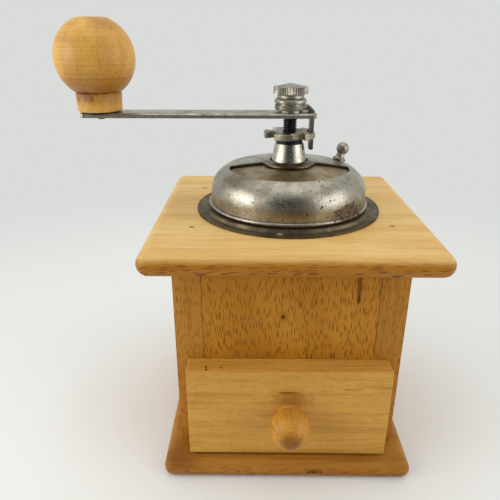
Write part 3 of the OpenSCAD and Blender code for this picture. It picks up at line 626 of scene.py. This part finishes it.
DOME_PLATE = Plate(
    "dome_nickel", plate=(0.395, 0.365, 0.298), stain_colour=(0.20, 0.163, 0.105),
    rust_colour=(0.115, 0.062, 0.026), pits=1.0, stain=0.6, rough=0.19, crevice_grime_and_shade=0.9, crevice_reach=1.2,
    spots=DOME_MARKS, rust_spots=DOME_RUST)

INNER_TONE = stain((0.0, -20.0, 163.0), (60.0, 40.0, 30.0), (1.0, 0.84, 0.62), 1.0, 0.2, 0.8)
INNER_RUST = (
    rust((0.0, 0.0, 166.0), (20.0, 16.0, 6.0), 0.6, 0.9),
    rust((-28.0, -16.0, 162.0), (9.0, 20.0, 6.0), 0.5, 0.9),
    rust((0.0, -36.0, 162.0), (40.0, 5.0, 4.0), 0.5, 0.9))
INNER_PLATE = Plate(
    "inner_cover_nickel", plate=(0.37, 0.325, 0.235), stain_colour=(0.20, 0.140, 0.070), pits=0.9,
    stain=0.8, rust=0.20, rough=0.20, spots=(INNER_TONE,), rust_spots=INNER_RUST)

# a small pale fleck on the flange's front edge
FLANGE_PALE_FLECK = Spot((-6.6, -49.0, 141.2), (2.2, 1.6, 2.0), (0.62, 0.60, 0.54), 1.0, 0.7)
DARK_SHEET = Plate(
    "darkened_sheet", plate=(0.155, 0.120, 0.075), stain_colour=(0.065, 0.046, 0.027),
    rust_colour=(0.15, 0.07, 0.025), pits=0.7, stain=0.8, rust=0.16, rough=0.38, crevice_grime_and_shade=0.7,
    spots=(FLANGE_PALE_FLECK,))
NUT_FOOT = stain((0.0, 0.0, 184.6), (13.0, 13.0, 1.6), (0.30, 0.28, 0.25), 0.95, 0.3, 0.2)
NUT_PLATE = Plate(
    "brassy_nickel", plate=(0.40, 0.365, 0.27), stain_colour=(0.18, 0.145, 0.09), pits=0.85,
    stain=0.8, rust=0.12, rough=0.20, spots=(NUT_FOOT,))
CONE_PLATE = Plate(
    "bright_nickel", plate=(0.50, 0.47, 0.395), stain_colour=(0.32, 0.265, 0.17), pits=0.7,
    stain=0.5, rough=0.14, rust_spots=(rust((0.0, 0.0, 165.2), (14.0, 14.0, 2.6), 0.62, 0.8),))
BLACK_STEEL = Plate(
    "blackened_steel", plate=(0.030, 0.032, 0.042), stain_colour=(0.02, 0.02, 0.022),
    pit_colour=(0.01, 0.01, 0.01), pits=0.3, stain=0.4, rough=0.28)
ZINC = Plate("zinc_plated_steel", plate=(0.50, 0.50, 0.48), pits=0.4, stain=0.4, rough=0.32)
NAIL_STEEL = Plate(
    "darkened_nails", plate=(0.13, 0.10, 0.08), stain_colour=(0.06, 0.045, 0.03), rough=0.45)
BURR_IRON = Plate(
    "burr_iron", plate=(0.22, 0.21, 0.20), stain_colour=(0.12, 0.10, 0.08), pits=0.5, stain=0.4,
    rough=0.42)
Finish = Wood | Plate


# --- Shaping ---


def sweep(section: Iterable[tuple], steps: int = 128, closed: bool = True) -> bmesh.types.BMesh:
    """Turns a section round the Z axis.

    Args:
        section: Radius, height and, where a corner is rounded, its fillet, all in millimetres.
        steps: The number of facets round the axis.
        closed: Whether the section's last point joins its first.

    Returns:
        The turned shape, in metres.
    """
    points = [(*p, 0.0)[:3] for p in section]
    form = bmesh.new()
    made = [form.verts.new((r * MM, 0.0, z * MM)) for r, z, _ in points]
    pairs = list(zip(made, made[1:]))
    if closed:
        pairs.append((made[-1], made[0]))
    for a, b in pairs:
        form.edges.new((a, b))
    fillets: dict[float, list] = {}
    for vert, (_, _, fillet) in zip(made, points):
        if fillet:
            fillets.setdefault(fillet, []).append(vert)
    for fillet, verts in fillets.items():
        bmesh.ops.bevel(form, geom=verts, offset=fillet * MM, offset_type="OFFSET", segments=4,
                        profile=0.5, affect="VERTICES", material=-1)
    bmesh.ops.spin(form, geom=form.verts[:] + form.edges[:], cent=(0, 0, 0), axis=(0, 0, 1),
                   dvec=(0, 0, 0), angle=2 * math.pi, steps=steps, use_merge=True)
    bmesh.ops.remove_doubles(form, verts=form.verts[:], dist=WELD)
    bmesh.ops.dissolve_degenerate(form, edges=form.edges[:], dist=SLIVER)
    bmesh.ops.recalc_face_normals(form, faces=form.faces[:])
    return form


def arc(centre: Point, radius: float, start: float, end: float, steps: int) -> list[Point]:
    """Lays points on an arc of a section.

    Args:
        centre: The arc's centre.
        radius: Its radius.
        start: The first point's angle in degrees, from the section's first axis.
        end: The last point's angle in degrees.
        steps: The number of steps between them.

    Returns:
        The points, with both ends.
    """
    angles = (math.radians(start + (end - start) * k / steps) for k in range(steps + 1))
    return [(centre[0] + radius * math.cos(a), centre[1] + radius * math.sin(a)) for a in angles]


def helix(section: Iterable[Point], low: float, pitch: float, turns: float,
          steps: int) -> bmesh.types.BMesh:
    """Sweeps a closed section up a screw line round the Z axis.

    Args:
        section: Radius and height of its corners, in millimetres.
        low: The height that it starts at, in millimetres.
        pitch: The climb of one turn, in millimetres.
        turns: The number of turns.
        steps: The number of facets in a turn.

    Returns:
        The swept shape, in metres.
    """
    form = bmesh.new()
    face = form.faces.new([form.verts.new((r * MM, 0.0, (low + z) * MM)) for r, z in section])
    bmesh.ops.spin(form, geom=[face, *face.verts, *face.edges], cent=(0, 0, 0), axis=(0, 0, 1),
                   dvec=(0, 0, pitch * MM / steps), angle=2 * math.pi * turns,
                   steps=round(steps * turns), use_merge=False)
    bmesh.ops.remove_doubles(form, verts=form.verts[:], dist=SLIVER)
    bmesh.ops.recalc_face_normals(form, faces=form.faces[:])
    return form


def joined(*forms: bmesh.types.BMesh) -> bmesh.types.BMesh:
    """Puts several shapes into one."""
    whole = bmesh.new()
    for form in forms:
        mesh = bpy.data.meshes.new("part")
        form.to_mesh(mesh)
        form.free()
        whole.from_mesh(mesh)
        bpy.data.meshes.remove(mesh)
    return whole


def moved(form: bmesh.types.BMesh, matrix: Matrix) -> bmesh.types.BMesh:
    """Moves a shape and returns it."""
    bmesh.ops.transform(form, matrix=matrix, verts=form.verts[:])
    return form


@dataclass
class Bench:
    """Where finished pieces go onto the frame."""

    frame: dict
    made: dict[str, bpy.types.Material] = field(default_factory=dict)
    sharp_from: float = 32.0  # the angle in degrees past which an edge is drawn sharp
    eased_from: float = 30.0  # the angle in degrees past which an edge is rounded
    ease_steps: int = 3

    def material(self, finish: Finish) -> bpy.types.Material:
        """Returns the finish's material, and makes it the first time."""
        if finish.name not in self.made:
            self.made[finish.name] = finish.material()
        return self.made[finish.name]

    def keep(self, finish: Finish, *nodes: str) -> None:
        """Gives CAD nodes whose shape is already right their finish."""
        for node in nodes:
            mesh = self.frame["nodes"][node].data
            mesh.materials.clear()
            mesh.materials.append(self.material(finish))
            LOG.info("kept %s in %s", node, finish.name)

    def place(self, form: bmesh.types.BMesh, name: str, body: str, slot: str, finish: Finish,
              replaces: tuple[str, ...]) -> bpy.types.Object:
        """Makes a finished piece and hangs it on its body.

        Args:
            form: The shape, in the row's frame.
            name: The piece's name.
            body: The body that it moves with.
            slot: The record's material slot; not used.
            finish: Its finish.
            replaces: The CAD nodes that it stands for.

        Returns:
            The piece's object.
        """
        mesh = bpy.data.meshes.new(name)
        form.to_mesh(mesh)
        form.free()
        for layer in ("custom_normal", "sharp_edge"):
            if layer in mesh.attributes:
                mesh.attributes.remove(mesh.attributes[layer])
        mesh.shade_smooth()
        mesh.set_sharp_from_angle(angle=math.radians(self.sharp_from))
        mesh.materials.clear()
        mesh.materials.append(self.material(finish))
        piece = bpy.data.objects.new(name, mesh)
        bpy.context.scene.collection.objects.link(piece)
        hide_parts(*replaces)
        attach(piece, body)
        LOG.info("made %s: %d faces in %s", name, len(mesh.polygons), finish.name)
        return piece

    def ease(self, node: str, radius: float, body: str, slot: str,
             finish: Finish) -> bpy.types.Object:
        """Replaces a CAD node by a copy with its edges eased.

        Args:
            node: The CAD node.
            radius: How far the edges are rounded, in millimetres.
            body: The body that it moves with.
            slot: The record's material slot.
            finish: Its finish.

        Returns:
            The piece's object.
        """
        form = bmesh.new()
        form.from_mesh(self.frame["nodes"][node].data)
        bmesh.ops.remove_doubles(form, verts=form.verts[:], dist=CAD_WELD)
        bmesh.ops.dissolve_limit(form, angle_limit=math.radians(CAD_FLAT), verts=form.verts[:],
                                 edges=form.edges[:])
        above = math.radians(self.eased_from)
        edges = [e for e in form.edges if e.is_manifold and e.calc_face_angle() > above]
        bmesh.ops.bevel(form, geom=edges, offset=radius * MM, offset_type="OFFSET",
                        segments=self.ease_steps, profile=0.5, affect="EDGES", clamp_overlap=True,
                        material=-1)
        bmesh.ops.recalc_face_normals(form, faces=form.faces[:])
        piece = self.place(form, node + "_eased", body, slot, finish, (node,))
        weighted = piece.modifiers.new("flat faces stay flat", "WEIGHTED_NORMAL")
        weighted.keep_sharp = True
        return piece


# --- The grinder ---


@dataclass
class WoodenBox:
    """Boards, nails and screws of the box, sized in millimetres."""

    bench: Bench
    edge: float = 0.6

    def build(self) -> None:
        """Dresses the two bullnosed boards and eases the edges of the rest."""
        self.bench.keep(TOP_WOOD, "top_plate")
        self.bench.keep(BASE_WOOD, "base_plate")
        self.bench.ease("front_panel", self.edge, "mill", "beech_board", PANEL_WOOD)
        for node in ("side_board_left", "side_board_right", "back_board"):
            self.bench.ease(node, self.edge, "mill", "beech_board", SIDE_WOOD)
        self.bench.keep(ZINC, "base_screws")
        self.bench.keep(NAIL_STEEL, "top_plate_nails")


@dataclass
class Drawer:
    """The drawer with its front, its tray and its turned pull, sized in millimetres."""

    bench: Bench
    front_edge: float = 2.0
    tray_edge: float = 0.4
    ball: float = 10.75
    neck: float = 6.0
    foot_flare: float = 0.4
    foot_height: float = 0.9

    def build(self) -> None:
        """Makes the front, the tray's boards and the pull."""
        self.bench.ease("drawer_front", self.front_edge, "drawer", "beech_board", DRAWER_WOOD)
        for node in ("drawer_side_left", "drawer_side_right", "drawer_back"):
            self.bench.ease(node, self.tray_edge, "drawer", "beech_board", RAW_WOOD)
        self.bench.keep(RAW_WOOD, "drawer_bottom")
        self.bench.keep(ZINC, "drawer_knob_screw")
        self.pull()

    def pull(self) -> None:
        """Turns the pull as a ball on a short neck with a flared foot."""
        low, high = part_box("drawer_knob")
        length = (high.y - low.y) / MM
        middle = (low + high) / 2
        start = math.degrees(math.acos(self.neck / self.ball))
        ball = arc((0.0, length - self.ball), self.ball, -start, 90.0, 28)
        section = [(0.0, 0.0), (self.neck + self.foot_flare, 0.0, 0.2),
                   (self.neck, self.foot_height, 0.3), *ball[:-1], (0.0, length)]
        form = sweep(section, 72, closed=False)
        turn = Matrix.Translation((middle.x, high.y, middle.z)) @ Matrix.Rotation(math.pi / 2, 4, "X")
        self.bench.place(moved(form, turn), "drawer_pull", "drawer", "beech_turned", PULL_WOOD,
                         ("drawer_knob",))


@dataclass
class Hopper:
    """Flange, bowl, inner cover, bearing bridge and cone."""

    bench: Bench

    def build(self) -> None:
        """Dresses the hopper's sheet pieces, the bearing cone and its washer."""
        self.bench.keep(DARK_SHEET, "hopper_flange", "hopper_bowl", "bowl_floor", "bearing_bridge")
        self.bench.keep(INNER_PLATE, "inner_cover")
        self.bench.keep(ZINC, "hopper_screws")
        self.bench.keep(CONE_PLATE, "bearing_cone")
        self.bench.keep(BLACK_STEEL, "thrust_washer")


@dataclass
class Dome:
    """The turning dome with its opening, and its small ball knob."""

    bench: Bench

    def build(self) -> None:
        """Dresses the dome and its knob."""
        self.bench.keep(DOME_PLATE, "dome_cover")
        self.bench.keep(NICKEL, "dome_knob")


@dataclass
class Works:
    """Burrs, bearing strap, bolts and spindle, sized in millimetres; a depth is below the shaft."""

    bench: Bench
    shaft: float = 7.8
    collar: float = 6.3
    collar_top: float = 149.0
    collar_height: float = 2.0
    thread_from: float = 178.5
    thread_run_out: float = 1.4
    thread_lead: float = 0.6
    pitch: float = 1.25
    core_depth: float = 0.65
    tip_depth: float = 1.2
    root_depth: float = 0.75
    root_half: float = 0.52
    crest_depth: float = 0.03
    crest_half: float = 0.09

    def build(self) -> None:
        """Dresses the burrs and what holds them, and makes the spindle."""
        self.bench.keep(BURR_IRON, "outer_burr", "inner_burr")
        self.bench.keep(DARK_SHEET, "lower_bearing")
        self.bench.keep(ZINC, "burr_bolts", "burr_bolt_nuts", "burr_nut", "spindle_spring")
        self.spindle()

    def spindle(self) -> None:
        """Turns the spindle with its collar and winds the thread on its upper end."""
        low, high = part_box("spindle")
        foot, top = low.z / MM, high.z / MM
        radius = self.shaft / 2
        core = radius - self.core_depth
        collar_foot = self.collar_top - self.collar_height
        thread_foot = self.thread_from + self.thread_lead
        rod = sweep([(0.0, foot), (radius, foot, 0.4), (radius, collar_foot),
                     (self.collar, collar_foot, 0.3), (self.collar, self.collar_top, 0.3),
                     (radius, self.collar_top), (radius, self.thread_from), (core, thread_foot),
                     (core, top - self.thread_lead), (radius - self.tip_depth, top), (0.0, top)],
                    48, closed=False)
        turns = (top - self.thread_run_out - self.thread_from) / self.pitch
        root, crest = radius - self.root_depth, radius - self.crest_depth
        ridge = [(root, -self.root_half), (crest, -self.crest_half), (crest, self.crest_half),
                 (root, self.root_half)]
        thread = helix(ridge, thread_foot, self.pitch, turns, 36)
        self.bench.place(joined(rod, thread), "threaded_spindle", "crank", "black_steel", BLACK_STEEL,
                         ("spindle",))


@dataclass
class Crank:
    """Adjusting nut, crank arm, pawl, cap nut and the turned knob, sized in millimetres."""

    bench: Bench
    nut_edge: float = 0.45
    arm_edge: float = 0.25
    pawl_edge: float = 0.35
    collar: float = 12.35
    flat: float = 15.0
    bore: float = 3.1
    recess: float = 5.2
    recess_depth: float = 1.8

    def build(self) -> None:
        """Makes the crank's pieces from the bottom up."""
        self.bench.ease("adjusting_nut", self.nut_edge, "adjuster", "nickel", NUT_PLATE)
        self.bench.ease("crank_arm", self.arm_edge, "crank", "nickel", NICKEL)
        self.bench.ease("locking_pawl", self.pawl_edge, "crank", "nickel", PAWL_STEEL)
        self.bench.keep(NICKEL, "lock_washer", "spring_washer")
        self.bench.keep(BLACK_STEEL, "knob_washer", "knob_pin")
        self.bench.keep(NICKEL, "cap_nut")
        self.knob()

    def knob(self) -> None:
        """Turns the crank's knob: a ball on a collar, with a recess for the pin's head."""
        low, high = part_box("crank_knob")
        foot, top = low.z / MM, high.z / MM
        radius = (high.x - low.x) / 2 / MM
        crown = top - math.sqrt(radius ** 2 - (self.flat / 2) ** 2)
        start = math.degrees(math.acos(self.collar / radius))
        end = math.degrees(math.acos(self.flat / 2 / radius))
        waist = crown - math.sqrt(radius ** 2 - self.collar ** 2)
        ball = arc((0.0, crown), radius, -start, end, 60)
        recess_floor = top - self.recess_depth
        section = [(self.bore, foot), (self.collar - 0.6, foot, 0.6),
                   (self.collar - 0.1, waist - 0.7, 0.3), (self.collar - 0.8, waist - 0.15, 0.2),
                   *ball[1:-1], (self.flat / 2, top, 3.0), (self.recess, top, 0.4),
                   (self.recess, recess_floor, 0.3), (self.bore, recess_floor)]
        form = sweep(section, 160)
        middle = (low + high) / 2
        form = moved(form, Matrix.Translation((middle.x, middle.y, 0.0)))
        self.bench.place(form, "turned_knob", "knob", "beech_turned", KNOB_WOOD, ("crank_knob",))


@dataclass(frozen=True)
class Softbox:
    """A soft rectangular light, in metres and watts."""

    name: str
    place: Triple
    size: Point
    power: float


@dataclass
class Studio:
    """Camera, pale floor, walls and soft lights, placed in metres."""

    place: Triple = (-0.0190, -0.2842, 0.2322)
    pitch: float = 22.94
    yaw: float = -0.59
    roll: float = 0.09
    lens: float = 36.33
    floor: float = 5.0
    floor_fade: Point = (120.0, 620.0)  # in millimetres
    floor_tones: tuple[Colour, Colour] = ((0.80, 0.805, 0.79), (0.83, 0.835, 0.82))
    wall_tone: Colour = (0.700, 0.715, 0.695)
    dark_tone: Colour = (0.040, 0.046, 0.060)
    dark_floor: Triple = (0.0, -900.0, 0.0)  # in millimetres
    dark_floor_fade: Point = (720.0, 520.0)  # in millimetres
    dark_way: Triple = (0.0, -0.95, 0.20)  # a direction
    dark_spread: Triple = (0.64, 1.0, 0.60)
    dark_way_fade: Point = (1.15, 0.75)
    aim: Triple = (0.0, 0.0, 0.12)
    lights: tuple[Softbox, ...] = (
        Softbox("left_softbox", (-0.92, -0.32, 0.42), (0.95, 0.80), 4.2),
        Softbox("right_softbox", (0.90, -0.38, 0.42), (0.80, 0.80), 3.4),
        Softbox("knob_light", (-0.46, -0.22, 0.25), (0.20, 0.20), 0.28),
        Softbox("top_softbox", (0.0, 0.10, 1.35), (1.4, 1.4), 4.6))

    def build(self) -> None:
        """Sets the stage."""
        self.camera()
        self.ground()
        self.room()
        for softbox in self.lights:
            self.hang(softbox)
        bpy.context.scene.view_settings.view_transform = "Standard"

    def camera(self) -> None:
        """Stands the camera where the object is seen from."""
        pitch, yaw, roll = (math.radians(a) for a in (self.pitch, self.yaw, self.roll))
        ahead = Vector((math.sin(yaw) * math.cos(pitch), math.cos(yaw) * math.cos(pitch),
                        -math.sin(pitch)))
        level = Vector((math.cos(yaw), -math.sin(yaw), 0.0))
        upward = level.cross(ahead)
        right = level * math.cos(roll) + upward * math.sin(roll)
        upward = -level * math.sin(roll) + upward * math.cos(roll)
        data = bpy.data.cameras.new("camera")
        data.sensor_width, data.lens = 36.0, self.lens
        data.clip_start, data.clip_end = 0.01, 30.0
        camera = bpy.data.objects.new("camera", data)
        turn = Matrix((right, upward, -ahead)).transposed().to_4x4()
        camera.matrix_world = Matrix.Translation(self.place) @ turn
        bpy.context.scene.collection.objects.link(camera)
        bpy.context.scene.camera = camera

    def ground(self) -> None:
        """Lays a pale round floor that fades into the walls' tone, with a dark part that only shows
        in reflections."""
        form = bmesh.new()
        bmesh.ops.create_circle(form, cap_ends=True, radius=self.floor, segments=96)
        mesh = bpy.data.meshes.new("pale_floor")
        form.to_mesh(mesh)
        form.free()
        g, shader, at = surface("pale_floor")
        away = g.add("VectorMath", {0: at}, operation="LENGTH").outputs["Value"]
        far = g.ramp(away, *self.floor_fade)
        near = g.mix(g.noise(at, 0.004, 2.0), *self.floor_tones)
        g.tree.links.new(g.mix(far, near, (0.0, 0.0, 0.0)), shader.inputs["Base Color"])
        aside = g.reach(at, self.dark_floor, (1.0, 1.0, 1.0))
        dark = g.unseen(g.ramp(aside, *self.dark_floor_fade))
        tone = g.mix(dark, self.wall_tone, self.dark_tone)
        g.tree.links.new(g.mix(far, (0.0, 0.0, 0.0), tone), shader.inputs["Emission Color"])
        shader.inputs["Emission Strength"].default_value = 1.0
        shader.inputs["Roughness"].default_value = 0.9
        shader.inputs["Specular IOR Level"].default_value = 0.0
        mesh.materials.append(bpy.data.materials["pale_floor"])
        floor = bpy.data.objects.new("pale_floor", mesh)
        bpy.context.scene.collection.objects.link(floor)

    def room(self) -> None:
        """Surrounds the stage with pale walls, whose dark part in front of the grinder only shows in
        reflections."""
        world = bpy.data.worlds.new("room")
        world.use_nodes = True
        bpy.context.scene.world = world
        g = Graph(world.node_tree)
        way = g.add("TexCoord").outputs["Generated"]
        aside = g.reach(way, self.dark_way, self.dark_spread)
        dark = g.unseen(g.ramp(aside, *self.dark_way_fade))
        tone = g.mix(dark, self.wall_tone, self.dark_tone)
        background = world.node_tree.nodes["Background"]
        g.tree.links.new(tone, background.inputs["Color"])
        background.inputs["Strength"].default_value = 1.0

    def hang(self, softbox: Softbox) -> None:
        """Hangs a softbox so that it faces the grinder."""
        data = bpy.data.lights.new(softbox.name, "AREA")
        data.shape, data.energy = "RECTANGLE", softbox.power
        data.size, data.size_y = softbox.size
        light = bpy.data.objects.new(softbox.name, data)
        light.location = softbox.place
        way = Vector(self.aim) - Vector(softbox.place)
        light.rotation_euler = way.to_track_quat("-Z", "Y").to_euler()
        bpy.context.scene.collection.objects.link(light)


def main() -> None:
    """Builds the grinder around the frame."""
    logging.basicConfig(level=logging.INFO, format="%(message)s")
    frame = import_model()
    bench = Bench(frame)
    Studio().build()
    for assembly in (WoodenBox, Drawer, Hopper, Dome, Works, Crank):
        LOG.info("%s", assembly.__name__)
        assembly(bench).build()


if __name__ == "__main__":
    main()
